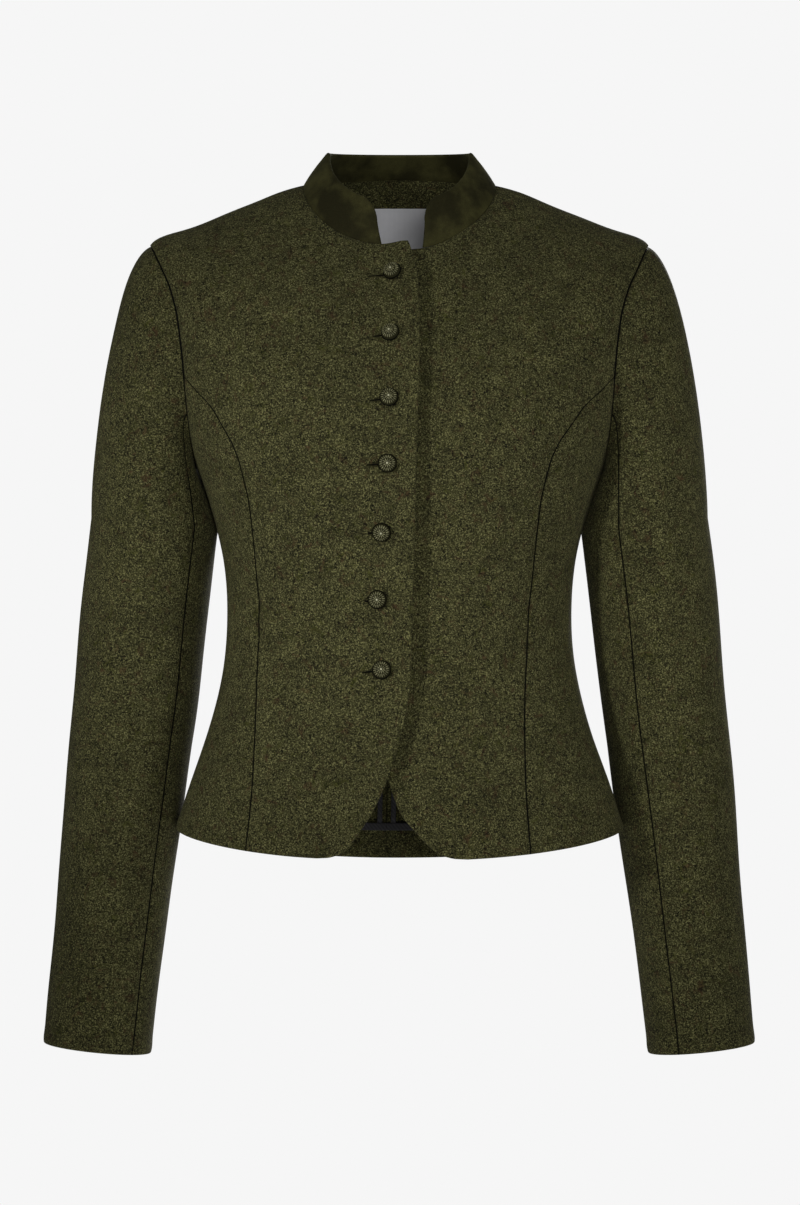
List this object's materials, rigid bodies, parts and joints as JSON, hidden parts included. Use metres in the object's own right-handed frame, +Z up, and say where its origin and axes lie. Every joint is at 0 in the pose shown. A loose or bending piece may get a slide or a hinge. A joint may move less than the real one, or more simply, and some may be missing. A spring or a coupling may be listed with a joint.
{
  "type": "fitted wool jacket with a velvet stand collar",
  "caption": "Hollow fitted jacket of heathered wool, buttoned at the front, with curved front seams, two-piece sleeves and a velvet stand collar.",
  "frame": {"origin": "base of the neck, midway between the side neck points, where the wearer's shoulders hold the jacket", "axes": "+Z up, the front faces -Y, +X towards the wearer's left"},
  "size_m": [0.5546, 0.2325, 0.7063],
  "materials": {
    "heathered_wool": "brushed heathered wool cloth, dark olive green with brown and straw fibres, matt",
    "velvet": "short cotton velvet, very dark green",
    "label_satin": "plain woven satin label, silver grey, no lettering",
    "binding_tape": "black bias binding tape",
    "button_thread": "domed button covered in radiating green and straw thread"
  },
  "bodies": {
    "root": {"front_right": "heathered_wool", "front_left": "heathered_wool", "side_right": "heathered_wool", "side_left": "heathered_wool", "back_right": "heathered_wool", "back_left": "heathered_wool", "upper_sleeve_right": "heathered_wool", "upper_sleeve_left": "heathered_wool", "under_sleeve_right": "heathered_wool", "under_sleeve_left": "heathered_wool", "collar": "velvet", "back_neck_facing": "heathered_wool", "label": "label_satin", "hem_turn_up_right": "heathered_wool", "hem_turn_up_left": "heathered_wool", "hem_binding_right": "binding_tape", "hem_binding_left": "binding_tape", "seam_allowance_right": "heathered_wool", "seam_allowance_left": "heathered_wool", "seam_binding_right": "binding_tape", "seam_binding_left": "binding_tape", "button_1": "button_thread", "button_2": "button_thread", "button_3": "button_thread", "button_4": "button_thread", "button_5": "button_thread", "button_6": "button_thread", "button_7": "button_thread"}
  },
  "joints": []
}
